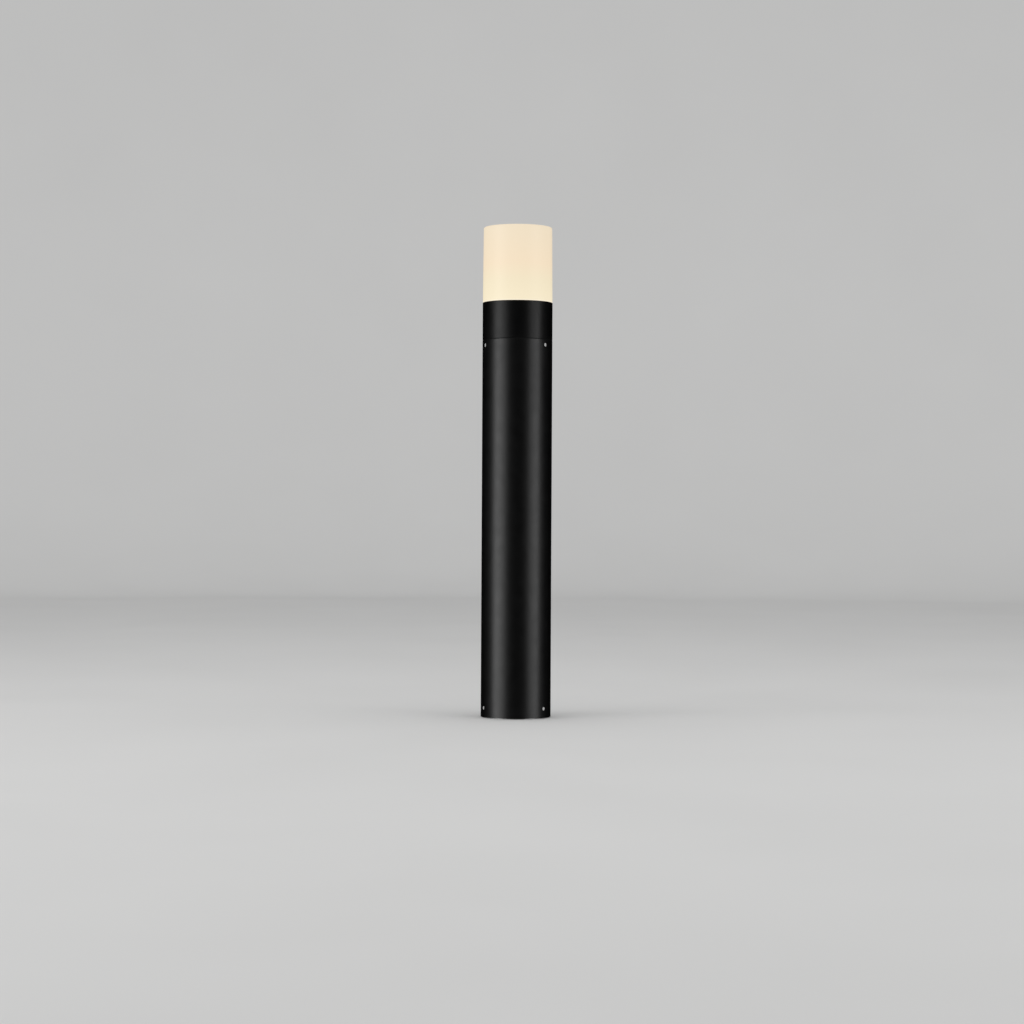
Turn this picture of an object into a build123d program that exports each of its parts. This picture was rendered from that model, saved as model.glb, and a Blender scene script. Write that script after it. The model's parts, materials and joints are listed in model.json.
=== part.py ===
from build123d import *
from math import cos, radians, sin, sqrt, tan
import os

# Round bollard light for a garden path. All sizes are in millimetres.
# The origin is the centre of the foot's underside, +Z points up, and +Y points to the back.
#
# A foot is bolted to the ground. It carries a tall gear tray with the junction box, the lamp lead and
# the lampholder. The column is a sleeve that drops over the tray and sits on the foot. The head, a ring
# with the opal diffuser bonded in it, drops into the top of the column over the lamp. Three set screws
# clamp the head in the column and three more clamp the column on the foot.

# ---- Overall sizes
overall_height = 700.0
column_diameter = 100.0
diffuser_height = 107.5
head_height = 53.5

# ---- General clearances
slide_clearance = 0.3  # radial, between pieces that lift past each other
thread_clearance = 0.05  # radial, round a set screw in its tapped hole
weep_gap = 1.0  # the column hangs this far above the ground, so that water runs out

# ---- Column and collars
column_wall = 3.0
column_edge = 0.3
collar_wall = 5.0
top_collar_height = 44.0
bottom_collar_height = 24.0

# ---- Set screws
set_screw_angles = (90.0, 210.0, 330.0)
set_screw_diameter = 5.0
set_screw_recess = 0.3  # of its outer end, below the column's surface
set_screw_socket = 2.5  # across flats
set_screw_socket_depth = 3.0
set_screw_cup_depth = 0.6
set_screw_edge = 0.4
set_screw_tip_gap = 0.05
set_screw_hole_gap = 0.25  # radial, in the column wall
head_screw_inset = 8.0  # below the top of the column
foot_screw_inset = 13.0  # above the bottom of the column

# ---- Foot
foot_plate_thickness = 8.0
foot_ring_height = 40.0
foot_ring_wall = 4.5
anchor_angles = (30.0, 150.0, 270.0)
anchor_hole = 9.0
anchor_washer = 16.0
anchor_washer_gap = 1.2
foot_web = 4.5  # metal between the cable hole and an anchor hole
boss_width = 28.0
boss_depth = 15.2
boss_screw_heights = (12.0, 28.0)  # above the foot plate

# ---- Earth stud
earth_angle = 330.0
earth_stud_diameter = 6.0
earth_stud_length = 24.0
earth_stud_depth = 6.0
earth_nut_flats = 10.0
earth_nut_height = 5.0
earth_lug_thickness = 1.2
earth_lug_radius = 6.0
earth_barrel_length = 9.0
earth_barrel_wall = 0.8
wire_diameter = 2.4  # earth wire, and each core of the lamp lead

# ---- Gear tray
tray_width = 44.0
tray_thickness = 2.0
tray_clearance = 1.0  # between the flanges' edges and the head's spigot
tray_bottom_gap = 4.0  # above the foot plate
tray_shelf_reach = 20.0  # in front of the lamp's axis
tray_shelf_corner = 10.0
tray_slot_width = 6.0
tray_slot_length = 50.0
tray_screw_diameter = 5.0
tray_screw_head = 9.0
tray_screw_head_height = 3.0
tray_screw_grip = 8.0

# ---- Centring disc
disc_thickness = 5.0
disc_drop = 4.5  # below the head's spigot
disc_clearance = 0.4
disc_window = 9.0
disc_tab_width = 24.0
disc_tab_drop = 12.0
disc_tab_thickness = 4.0
disc_screw_diameter = 3.0
disc_screw_pitch = 17.0

# ---- Junction box
box_width = 60.0
box_height = 100.0
box_base = 90.0  # above the ground
box_body_depth = 24.0
box_wall = 2.5
box_corner = 4.0
box_gasket = 1.0
box_gasket_width = 3.0
box_lid_depth = 6.0
box_lid_wall = 2.0
box_post_radius = 3.6
box_post_inset = 5.0
box_screw_diameter = 3.0
box_screw_head = 5.6
box_screw_head_height = 2.0
box_screw_length = 16.0
box_fixing_pitch = 60.0
box_fixing_grip = 3.0

# ---- Terminals and fuse
terminal_width = 36.0
terminal_height = 16.0
terminal_depth = 14.0
terminal_rise = 52.0  # above the bottom of the box
terminal_poles = 3
terminal_screw_diameter = 3.2
terminal_wire_gap = 0.1
terminal_entry = 6.0  # how far a wire goes into its pole
fuse_base_width = 32.0
fuse_base_height = 11.0
fuse_base_depth = 7.0
fuse_rise = 30.0
fuse_diameter = 5.0
fuse_length = 20.0
fuse_clip_width = 4.0
fuse_clip_wall = 1.0
fuse_clip_grip = 3.6  # how far round the fuse each clip reaches

# ---- Cable glands
gland_flats = 19.0
gland_hex_height = 5.0
gland_thread_diameter = 16.0
gland_barrel_diameter = 15.0
gland_barrel_height = 9.0
gland_bore = 12.4
gland_nut_height = 15.0
gland_nut_lip = 2.0
gland_seal_height = 9.0
gland_lock_flats = 20.0
gland_lock_height = 3.5
supply_bore = 9.0
supply_offset = -9.0  # of the supply gland from the middle of the box
grommet_offset = 13.0
grommet_diameter = 9.0
grommet_flange = 13.0
grommet_lip = 1.5

# ---- Lamp lead
lead_diameter = 7.0
lead_tail = 6.0  # length inside the box and inside the lampholder
lead_straight = 16.0  # above the gland, before the first bend
shelf_straight = 12.0  # below the lampholder's shelf
lead_sway = 28.0  # height of each sideways bend
clip_count = 3
clip_margin = 30.0  # between the outer clips and the bends of the lead
clip_width = 8.0
clip_wall = 1.2
clip_ear = 6.0
rivet_diameter = 3.2
rivet_head = 5.6
rivet_head_height = 1.0

# ---- Lampholder
holder_height = 46.0
holder_sink = 2.3  # its rim below the top of the head
holder_base_radius = 21.5
holder_base_height = 7.0
holder_body_radius = 17.5
holder_rim_radius = 19.0
holder_rim_height = 6.0
holder_socket_radius = 14.6
holder_floor = 12.0
holder_lead_gap = 1.0
sleeve_wall = 0.9
sleeve_length = 26.0
sleeve_rise = 2.0
tongue_width = 8.0
tongue_length = 16.0
tongue_thickness = 0.8
tongue_button_radius = 3.0
tongue_button_height = 3.0
holder_screw_offset = 18.2
holder_screw_diameter = 3.0
holder_screw_head = 5.0
holder_screw_head_height = 1.8

# ---- Lamp, with the size of its E27 cap fixed by the standard
lamp_contact_gap = 0.1
lamp_contact_radius = 4.6
lamp_contact_height = 1.6
lamp_insulator_height = 4.0
lamp_cap_radius = 13.1
lamp_cap_root = 12.2
lamp_cap_height = 21.0
lamp_cap_wall = 0.8
lamp_cap_turns = 5
lamp_neck_radius = 13.4
lamp_neck_height = 8.0
lamp_plug_depth = 5.0
lamp_shoulder_radius = 20.0
lamp_shoulder_height = 18.0
lamp_wall = 1.6
lamp_globe_radius = 22.5
lamp_globe_wall = 1.2
led_board_radius = 17.0
led_board_thickness = 1.6
led_count = 8
led_circle = 11.0
led_size = 3.2
led_thickness = 0.8
lamp_seal_height = 3.0
lamp_seal_radius = 18.2
lamp_thread_pitch = 3.62
lamp_turns = 4.0

# ---- Head
head_wall = 4.0
head_web = 8.0
head_edge = 0.5
spigot_depth = 32.0
spigot_wall = 3.5
seam_gap = 0.4
head_gasket_thickness = 1.0
head_gasket_cover = 0.7  # the ring hides the gasket by this much
reflector_overhang = 5.2  # inwards, past the spigot's bore
reflector_thickness = 1.0
reflector_top_gap = 4.7  # below the diffuser's neck
reflector_gap = 0.4
reflector_screw_diameter = 3.0
reflector_screw_head = 5.5
reflector_screw_head_height = 1.6
reflector_screw_grip = 6.0

# ---- Diffuser
diffuser_step = 0.2  # smaller than the column, in radius
diffuser_draft = 0.47  # degrees
diffuser_wall = 3.0
diffuser_top = 3.0
diffuser_shoulder = 3.5
diffuser_edge = 2.0
diffuser_gap = 0.2
neck_depth = 14.0
neck_gap = 0.6
bond_height = 8.0
bond_rise = 3.0

# ---- Radii and heights that follow
column_radius = column_diameter / 2
column_bore = column_radius - column_wall
collar_bore = column_bore - collar_wall
spigot_radius = collar_bore - slide_clearance
spigot_bore = spigot_radius - spigot_wall
set_screw_tip = spigot_radius + set_screw_tip_gap
set_screw_end = column_radius - set_screw_recess

head_top = overall_height - diffuser_height - diffuser_gap
head_bottom = head_top - head_height
column_top = head_bottom - seam_gap
spigot_bottom = column_top - spigot_depth
head_bore = column_radius - head_wall
web_top = head_bottom + head_web

foot_top = foot_plate_thickness + foot_ring_height
foot_ring_bore = spigot_radius - foot_ring_wall
anchor_radius = foot_ring_bore - anchor_washer / 2 - anchor_washer_gap
cable_hole_radius = anchor_radius - anchor_hole / 2 - foot_web

tray_back = foot_ring_bore - boss_depth
tray_front = tray_back - tray_thickness
tray_top = head_top - holder_sink - holder_height
tray_flange_back = sqrt((spigot_bore - tray_clearance) ** 2 - (tray_width / 2) ** 2)

box_top = box_base + box_height
box_face = tray_front - box_body_depth
gland_y = box_face + (box_body_depth - box_wall) / 2
box_front = box_face - box_gasket - box_lid_depth
terminal_bottom = box_base + terminal_rise
terminal_y = tray_front - box_wall - terminal_depth / 2

disc_top = spigot_bottom - disc_drop
disc_bottom = disc_top - disc_thickness

holder_top = tray_top + holder_height
socket_floor = tray_top + holder_floor
lamp_bottom = socket_floor + tongue_thickness + tongue_button_height + lamp_contact_gap
cap_bottom = lamp_bottom + lamp_contact_height + lamp_insulator_height
cap_top = cap_bottom + lamp_cap_height
shoulder_bottom = cap_top + lamp_neck_height
globe_bottom = shoulder_bottom + lamp_shoulder_height
globe_middle = globe_bottom + sqrt(lamp_globe_radius**2 - lamp_shoulder_radius**2)

lead_y = tray_front - clip_wall - lead_diameter / 2
lead_start = box_top - lead_tail
gland_top = box_top + gland_hex_height + gland_nut_height
sway_top = gland_top + lead_straight + lead_sway
clip_low = sway_top + clip_margin
clip_high = disc_bottom - disc_tab_drop - clip_margin
clip_heights = [clip_low + (clip_high - clip_low) * share / (clip_count - 1) for share in range(clip_count)]

diffuser_radius = column_radius - diffuser_step
diffuser_bottom = head_top + diffuser_gap
neck_radius = head_bore - neck_gap
neck_bottom = diffuser_bottom - neck_depth

corner_angles = (45.0, 135.0, 225.0, 315.0)


# ---- Helpers
def rod(radius, bottom, top, x=0.0, y=0.0):
    """An upright cylinder from one height to another."""
    return Pos(x, y, bottom) * Cylinder(radius, top - bottom, align=(Align.CENTER, Align.CENTER, Align.MIN))


def ring(outer, inner, bottom, top):
    """An upright ring round the Z axis."""
    return rod(outer, bottom, top) - rod(inner, bottom, top)


def block(x, y, z):
    """A box given by its lowest and highest x, y and z."""
    middle = Pos((x[0] + x[1]) / 2, (y[0] + y[1]) / 2, (z[0] + z[1]) / 2)
    return middle * Box(x[1] - x[0], y[1] - y[0], z[1] - z[0])


def turned(*outline):
    """A solid of revolution round Z, from (radius, height) points."""
    return revolve(make_face(Polyline(*[(r, 0, z) for r, z in outline], close=True)), Axis.Z)


def hexagon(flats, bottom, top):
    """An upright hexagonal prism, given across its flats."""
    face = RegularPolygon(flats / 2, 6, major_radius=False)
    return Pos(0, 0, bottom) * extrude(face, top - bottom)


def outward(angle, height):
    """A place on the Z axis whose own Z points level and outwards at an angle."""
    return Pos(0, 0, height) * Rot(0, 0, angle) * Rot(0, 90, 0)


def forward(x, y, z):
    """A place whose own Z points to the front, along -Y."""
    return Pos(x, y, z) * Rot(90, 0, 0)


def on_circle(radius, angle):
    """The x and y of a point on a circle round the Z axis."""
    return radius * cos(radians(angle)), radius * sin(radians(angle))


def pan_screw(diameter, grip, head, head_height):
    """A pan-head screw along Z: its head is above zero and its shank is below."""
    top = rod(head / 2, 0, head_height)
    top = fillet(top.edges().group_by(Axis.Z)[-1], head_height * 0.4)
    slot = block((-head / 2, head / 2), (-head / 14, head / 14), (head_height * 0.6, head_height))
    return top + rod(diameter / 2, -grip, 0) - slot


def tube_along(points, diameter):
    """A round tube along straight runs that are joined by the widest arcs that they leave room for."""
    corners = [Vector(*point) for point in points]
    runs = [end - start for start, end in zip(corners, corners[1:])]
    radii = []
    for before, after in zip(runs, runs[1:]):
        turn = radians(before.get_angle(after))
        radii.append(0.45 * min(before.length, after.length) / tan(turn / 2))
    path = FilletPolyline(*corners, radius=radii)
    section = Plane(origin=path @ 0, z_dir=path % 0) * Circle(diameter / 2)
    print("tube", diameter, "length", round(path.length, 1), "bend radii", [round(r, 1) for r in radii])
    return sweep(section, path=path)


def group(solids):
    """Several solids kept apart in one node."""
    return Compound(children=list(solids))


# ---- Foot
def foot_casting():
    """The plate, the ring that the column slides over, and the boss for the gear tray."""
    body = rod(column_bore - slide_clearance, 0, foot_plate_thickness)
    body += ring(spigot_radius, foot_ring_bore, foot_plate_thickness, foot_top)
    wide = (-boss_width / 2, boss_width / 2)
    boss = block(wide, (tray_back, spigot_radius), (foot_plate_thickness, foot_top))
    body += boss & rod(spigot_radius, 0, foot_top)
    body -= rod(cable_hole_radius, 0, foot_plate_thickness)
    for angle in anchor_angles:
        body -= rod(anchor_hole / 2, 0, foot_plate_thickness, *on_circle(anchor_radius, angle))
    stud_floor = foot_plate_thickness - earth_stud_depth
    body -= rod(earth_stud_diameter / 2, stud_floor, foot_plate_thickness, *on_circle(anchor_radius, earth_angle))
    for rise in boss_screw_heights:
        hole = forward(0, tray_back, foot_plate_thickness + rise)
        body -= hole * rod(tray_screw_diameter / 2, -tray_screw_grip + tray_thickness, 0)
    return body


def earth_stud():
    x, y = on_circle(anchor_radius, earth_angle)
    bottom = foot_plate_thickness - earth_stud_depth
    return rod(earth_stud_diameter / 2, bottom, bottom + earth_stud_length, x, y)


def earth_lug():
    """A ring terminal lying on the plate, with a crimp barrel that stands up beside the stud."""
    x, y = on_circle(anchor_radius, earth_angle)
    bottom = foot_plate_thickness
    top = bottom + earth_lug_thickness
    bx, by = earth_barrel_place()
    eye = rod(earth_lug_radius, bottom, top, x, y)
    barrel_radius = wire_diameter / 2 + earth_barrel_wall
    tail = rod(barrel_radius + earth_barrel_wall, bottom, top, bx, by)
    barrel = rod(barrel_radius, top, top + earth_barrel_length, bx, by)
    barrel -= rod(wire_diameter / 2, top, top + earth_barrel_length, bx, by)
    bore = rod(earth_stud_diameter / 2, bottom, top, x, y)
    return make_hull_plate(eye, tail, top) - bore + barrel


def make_hull_plate(first, second, top):
    """One flat plate round two flat discs."""
    outline = [first.faces().sort_by(Axis.Z)[-1], second.faces().sort_by(Axis.Z)[-1]]
    hull = make_hull([edge for face in outline for edge in face.edges()])
    return extrude(hull, amount=-earth_lug_thickness, dir=(0, 0, 1))


def earth_barrel_place():
    """The crimp barrel stands beside the stud, towards the next anchor hole but clear of both."""
    return on_circle(anchor_radius, earth_angle + 22.0)


def earth_nut():
    x, y = on_circle(anchor_radius, earth_angle)
    bottom = foot_plate_thickness + earth_lug_thickness
    nut = hexagon(earth_nut_flats, bottom, bottom + earth_nut_height)
    return Pos(x, y, 0) * (nut - rod(earth_stud_diameter / 2, bottom, bottom + earth_nut_height))


def earth_wire():
    """From the crimp barrel up through the grommet, past the fuse, to the last pole of the terminals."""
    bx, by = earth_barrel_place()
    start = foot_plate_thickness + earth_lug_thickness
    rise = (box_base - start) / 3
    points = [(bx, by, start), (bx, by, start + rise)]
    points.append((grommet_offset, gland_y, start + 2 * rise))
    points.append((grommet_offset, gland_y, terminal_bottom - 2 * terminal_entry))
    points.append((terminal_x()[-1], terminal_y, terminal_bottom - terminal_entry / 2))
    points.append((terminal_x()[-1], terminal_y, terminal_bottom + terminal_entry))
    return tube_along(points, wire_diameter)


# ---- Gear tray
def gear_tray():
    """A folded steel channel with a tongue that screws to the foot and a shelf for the lampholder."""
    bottom = foot_plate_thickness + tray_bottom_gap
    channel_bottom = foot_top + tray_bottom_gap
    half = tray_width / 2
    tongue = (-boss_width / 2, boss_width / 2)
    tray = block(tongue, (tray_front, tray_back), (bottom, channel_bottom))
    tray += block((-half, half), (tray_front, tray_back), (channel_bottom, tray_top))
    shelf = block((-half, half), (-tray_shelf_reach, tray_back), (tray_top - tray_thickness, tray_top))
    front_corners = shelf.edges().filter_by(Axis.Z).group_by(Axis.Y)[0]
    tray += fillet(front_corners, tray_shelf_corner)
    for side in (-1, 1):
        wall = sorted((side * half, side * (half - tray_thickness)))
        tray += block(wall, (tray_front, tray_flange_back), (channel_bottom, tray_top))
    side = half - tray_slot_width / 2 - tray_thickness - 1
    for low, high in zip(clip_heights, clip_heights[1:]):
        for x in (-side, side):
            outline = Rot(0, 0, 90) * SlotOverall(tray_slot_length, tray_slot_width)
            tray -= forward(x, tray_back, (low + high) / 2) * extrude(outline, tray_thickness)
    tray -= rod(lead_diameter / 2 + holder_lead_gap, tray_top - tray_thickness, tray_top)
    for x in (-holder_screw_offset, holder_screw_offset):
        tray -= rod(holder_screw_diameter / 2, tray_top - tray_thickness, tray_top, x)
    for place in tray_screw_places():
        tray -= place * rod(tray_screw_diameter / 2, -tray_thickness, 0)
    for place in disc_screw_places() + box_fixing_places() + rivet_places():
        tray -= place * rod(rivet_diameter / 2, -tray_thickness, 0)
    return tray


def tray_screw_places():
    return [forward(0, tray_front, foot_plate_thickness + rise) for rise in boss_screw_heights]


def disc_screw_places():
    height = disc_bottom - disc_tab_drop / 2
    return [forward(x * disc_screw_pitch / 2, tray_front, height) for x in (-1, 1)]


def box_fixing_places():
    middle = (box_base + box_top) / 2
    return [forward(0, tray_front, middle + side * box_fixing_pitch / 2) for side in (-1, 1)]


def rivet_places():
    side = lead_diameter / 2 + clip_wall + clip_ear / 2
    return [forward(x, tray_front, height) for height in clip_heights for x in (-side, side)]


def tray_screws():
    screw = pan_screw(tray_screw_diameter, tray_screw_grip, tray_screw_head, tray_screw_head_height)
    return group(place * screw for place in tray_screw_places())


def centring_disc():
    """A plastic disc that keeps the tray in the middle of the column."""
    disc = rod(collar_bore - disc_clearance, disc_bottom, disc_top)
    half = tray_width / 2
    disc -= block((-half, half), (tray_front, column_radius), (disc_bottom, disc_top))
    for angle in (200.0, 270.0, 340.0):
        x, y = on_circle((collar_bore + lead_diameter) / 2, angle)
        disc -= rod(disc_window, disc_bottom, disc_top, x, y)
    wide = disc_tab_width / 2
    deep = (tray_front - disc_tab_thickness, tray_front)
    tab_bottom = disc_bottom - disc_tab_drop
    disc += block((-wide, wide), deep, (tab_bottom, disc_bottom))
    gap = lead_diameter / 2 + disc_clearance
    disc -= rod(gap, tab_bottom, disc_top, 0, lead_y)
    disc -= block((-gap, gap), (0, lead_y), (disc_bottom, disc_top)) + rod(gap, disc_bottom, disc_top)
    for place in disc_screw_places():
        disc -= place * rod(disc_screw_diameter / 2, 0, disc_tab_thickness)
    return disc


def disc_screws():
    shank = disc_tab_thickness + tray_thickness
    screw = pan_screw(disc_screw_diameter, shank, box_screw_head, box_screw_head_height)
    return group(place * Pos(0, 0, disc_tab_thickness) * screw for place in disc_screw_places())


# ---- Junction box
def box_outline(bottom, top, inset):
    """A rounded upright block of the box's front view, between two depths in front of the tray."""
    shape = RectangleRounded(box_width - 2 * inset, box_height - 2 * inset, box_corner - inset / 2)
    return forward(0, tray_front - bottom, (box_base + box_top) / 2) * extrude(shape, top - bottom)


def box_corners():
    """Where the four lid screws go, as x and z."""
    x = box_width / 2 - box_post_inset
    return [(side * x, z) for side in (-1, 1) for z in (box_base + box_post_inset, box_top - box_post_inset)]


def junction_box_body():
    body = box_outline(0, box_body_depth, 0) - box_outline(box_wall, box_body_depth, box_wall)
    for x, z in box_corners():
        body += forward(x, tray_front, z) * rod(box_post_radius, box_wall, box_body_depth)
        thread = box_screw_length - box_lid_depth - box_gasket
        body -= forward(x, box_face, z) * rod(box_screw_diameter / 2, -thread, 0)
    body &= box_outline(0, box_body_depth, 0)
    body -= Pos(supply_offset, gland_y, 0) * rod(gland_thread_diameter / 2, box_base, box_base + box_wall)
    body -= Pos(grommet_offset, gland_y, 0) * rod(grommet_diameter / 2, box_base, box_base + box_wall)
    body -= Pos(0, gland_y, 0) * rod(gland_thread_diameter / 2, box_top - box_wall, box_top)
    for place in box_fixing_places():
        body -= place * rod(box_screw_diameter / 2, 0, box_wall)
    return body


def junction_box_gasket():
    low, high = box_body_depth, box_body_depth + box_gasket
    seal = box_outline(low, high, 0) - box_outline(low, high, box_gasket_width)
    for x, z in box_corners():
        seal += forward(x, box_face, z) * rod(box_post_radius, 0, box_gasket)
    seal &= box_outline(low, high, 0)
    for x, z in box_corners():
        seal -= forward(x, box_face, z) * rod(box_screw_diameter / 2, 0, box_gasket)
    return seal


def junction_box_lid():
    low, high = box_body_depth + box_gasket, box_body_depth + box_gasket + box_lid_depth
    lid = box_outline(low, high, 0)
    lid = chamfer(lid.faces().sort_by(Axis.Y)[0].edges(), 1.0)
    hollow = box_outline(low, high - box_lid_wall, box_gasket_width)
    for x, z in box_corners():
        hollow -= forward(x, tray_front, z) * rod(box_post_radius, low, high)
    lid -= hollow
    for x, z in box_corners():
        lid -= forward(x, tray_front, z) * rod(box_screw_diameter / 2, low, high)
        lid -= forward(x, tray_front, z) * rod(box_screw_head / 2, high - box_screw_head_height, high)
    return lid


def lid_screws():
    grip = box_screw_length - box_screw_head_height
    screw = pan_screw(box_screw_diameter, grip, box_screw_head, box_screw_head_height)
    depth = tray_front - box_front - box_screw_head_height
    return group(forward(x, tray_front, z) * Pos(0, 0, depth) * screw for x, z in box_corners())


def box_fixings():
    grip = box_wall + tray_thickness
    screw = pan_screw(box_screw_diameter, grip, box_screw_head, box_screw_head_height)
    return group(place * Pos(0, 0, box_wall) * screw for place in box_fixing_places())


def terminal_x():
    """The middle of each pole of the terminal block."""
    pitch = terminal_width / terminal_poles
    return [(pole - (terminal_poles - 1) / 2) * pitch for pole in range(terminal_poles)]


def terminal_block():
    """Each pole has a wire tunnel from top to bottom and two screw wells in its face."""
    low, high = terminal_bottom, terminal_bottom + terminal_height
    back = tray_front - box_wall
    half = terminal_width / 2
    body = block((-half, half), (back - terminal_depth, back), (low, high))
    for x in terminal_x():
        body -= rod(wire_diameter / 2 + terminal_wire_gap, low, high, x, terminal_y)
        for place in terminal_wells(x):
            body -= place * rod(terminal_screw_diameter / 2, 0, terminal_depth / 2)
    for x in terminal_x()[1:]:
        edge = x - terminal_width / terminal_poles / 2
        body -= block((edge - 0.4, edge + 0.4), (back - terminal_depth, back - terminal_depth + 4), (low, high))
    return body


def terminal_wells(x):
    return [forward(x, terminal_y, terminal_bottom + terminal_height * share) for share in (0.25, 0.75)]


def terminal_screws():
    length = terminal_depth / 2 - 1.5
    screw = rod(terminal_screw_diameter / 2, wire_diameter / 2, length)
    screw -= block((-terminal_screw_diameter, terminal_screw_diameter), (-0.4, 0.4), (length - 0.8, length))
    return group(place * screw for x in terminal_x() for place in terminal_wells(x))


def fuse_place():
    """The middle of the fuse, with its own Z along the fuse."""
    depth = tray_front - box_wall - fuse_base_depth - fuse_clip_wall - fuse_diameter / 2
    return Pos(0, depth, box_base + fuse_rise) * Rot(0, 90, 0)


def fuse_span(half):
    """The lowest and highest z of something centred on the fuse."""
    middle = box_base + fuse_rise
    return middle - half, middle + half


def fuse_base():
    """A moulded base with a spring clip at each end of the fuse."""
    half = fuse_base_width / 2
    back = tray_front - box_wall
    face = back - fuse_base_depth
    reach = fuse_clip_wall + fuse_clip_grip
    body = block((-half, half), (face, back), fuse_span(fuse_base_height / 2))
    for side in (-1, 1):
        x = sorted((side * fuse_length / 2, side * (fuse_length / 2 - fuse_clip_width)))
        body += block(x, (face - reach, face), fuse_span(fuse_diameter / 2 + fuse_clip_wall))
    return body - fuse_place() * rod(fuse_diameter / 2, -fuse_length / 2, fuse_length / 2)


def fuse():
    return fuse_place() * rod(fuse_diameter / 2, -fuse_length / 2, fuse_length / 2)


# ---- Cable glands, built with the wall's outer face at zero and +Z pointing away from the box
def gland_body():
    body = hexagon(gland_flats, 0, gland_hex_height)
    body += rod(gland_barrel_diameter / 2, gland_hex_height, gland_hex_height + gland_barrel_height)
    body += rod(gland_thread_diameter / 2, -box_wall - gland_lock_height, 0)
    return body - rod(gland_bore / 2, -box_wall - gland_lock_height, gland_hex_height + gland_barrel_height)


def gland_nut(bore):
    low, high = gland_hex_height, gland_hex_height + gland_nut_height
    nut = hexagon(gland_flats, low, high) & rod(gland_flats / sqrt(3) - 0.3, low, high)
    nut = chamfer(nut.faces().sort_by(Axis.Z)[-1].edges(), 1.0)
    nut -= rod(gland_barrel_diameter / 2, low, high - gland_nut_lip - gland_seal_lip())
    nut -= rod(gland_bore / 2, low, high - gland_nut_lip)
    return nut - rod(bore / 2, low, high)


def gland_seal_lip():
    """The seal stands out of the barrel by this much, inside the nut."""
    return gland_nut_height - gland_nut_lip - gland_barrel_height


def gland_seal(bore):
    high = gland_hex_height + gland_nut_height - gland_nut_lip
    return ring(gland_bore / 2, bore / 2, high - gland_seal_height, high)


def gland_lock():
    low, high = -box_wall - gland_lock_height, -box_wall
    return hexagon(gland_lock_flats, low, high) - rod(gland_thread_diameter / 2, low, high)


supply_place = Pos(supply_offset, gland_y, box_base) * Rot(180, 0, 0)
lead_place = Pos(0, gland_y, box_top)


def gland_locknuts():
    return group([supply_place * gland_lock(), lead_place * gland_lock()])


def earth_grommet():
    """A soft grommet in the box's floor that grips the earth wire."""
    low, high = box_base - grommet_lip, box_base + box_wall + grommet_lip
    place = Pos(grommet_offset, gland_y, 0)
    shape = rod(grommet_diameter / 2, low, high)
    shape += rod(grommet_flange / 2, low, box_base) + rod(grommet_flange / 2, high - grommet_lip, high)
    return place * (shape - rod(wire_diameter / 2, low, high))


# ---- Lamp lead
def lamp_lead():
    """Out of the box, back against the tray under its clips, and over to the middle of the shelf."""
    bend_top = tray_top - shelf_straight
    bend_bottom = disc_top + 2
    return tube_along(
        [
            (0, gland_y, lead_start),
            (0, gland_y, gland_top + lead_straight),
            (0, lead_y, sway_top),
            (0, lead_y, bend_bottom),
            (0, 0, bend_top),
            (0, 0, tray_top + lead_tail),
        ],
        lead_diameter,
    )


def lamp_lead_cores():
    """The three cores fan out from the end of the sheath to the poles of the terminals."""
    top = terminal_bottom + terminal_height
    cores = []
    for x, angle in zip(terminal_x(), (210.0, 90.0, 330.0)):
        dx, dy = on_circle(wire_diameter * 0.61, angle)
        points = [(dx, gland_y + dy, lead_start), (dx, gland_y + dy, lead_start - terminal_entry)]
        points += [(x, terminal_y, top + terminal_entry), (x, terminal_y, top - terminal_entry)]
        cores.append(tube_along(points, wire_diameter))
    return group(cores)


def lead_clips():
    """Saddle clips, each with an ear on both sides."""
    outer = lead_diameter / 2 + clip_wall
    clips = []
    for place in rivet_places()[::2]:
        z = place.position.Z
        span = (z - clip_width / 2, z + clip_width / 2)
        clip = rod(outer, *span, 0, lead_y) + block((-outer, outer), (lead_y, tray_front), span)
        clip += block((-outer - clip_ear, outer + clip_ear), (tray_front - clip_wall, tray_front), span)
        clip -= rod(lead_diameter / 2, *span, 0, lead_y)
        for x in (-1, 1):
            hole = forward(x * (outer + clip_ear / 2), tray_front, z)
            clip -= hole * rod(rivet_diameter / 2, 0, clip_wall)
        clips.append(clip)
    return group(clips)


def clip_rivets():
    head = rod(rivet_head / 2, clip_wall, clip_wall + rivet_head_height)
    head = fillet(head.edges().group_by(Axis.Z)[-1], rivet_head_height * 0.6)
    tail = rod(rivet_head / 2, -tray_thickness - rivet_head_height, -tray_thickness)
    rivet = head + rod(rivet_diameter / 2, -tray_thickness, clip_wall) + tail
    return group(place * rivet for place in rivet_places())


# ---- Lampholder
def lampholder_body():
    """A ceramic body with a wide base, a waist and a rim."""
    base = tray_top + holder_base_height
    rim = holder_top - holder_rim_height
    body = turned(
        (0, tray_top),
        (holder_base_radius, tray_top),
        (holder_base_radius, base),
        (holder_body_radius, base + 2),
        (holder_body_radius, rim - 2),
        (holder_rim_radius, rim),
        (holder_rim_radius, holder_top),
        (0, holder_top),
    )
    body -= rod(holder_socket_radius, socket_floor, holder_top)
    body -= rod(lead_diameter / 2, tray_top, tray_top + lead_tail)
    for x in (-holder_screw_offset, holder_screw_offset):
        body -= rod(holder_screw_diameter / 2, tray_top, base, x)
        body -= rod(holder_screw_head / 2, base - holder_screw_head_height, holder_top - holder_rim_height, x)
    return body


def lampholder_screws():
    base = tray_top + holder_base_height
    grip = holder_base_height - holder_screw_head_height + tray_thickness
    screw = pan_screw(holder_screw_diameter, grip, holder_screw_head, holder_screw_head_height)
    height = base - holder_screw_head_height
    return group(Pos(x, 0, height) * screw for x in (-holder_screw_offset, holder_screw_offset))


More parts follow.
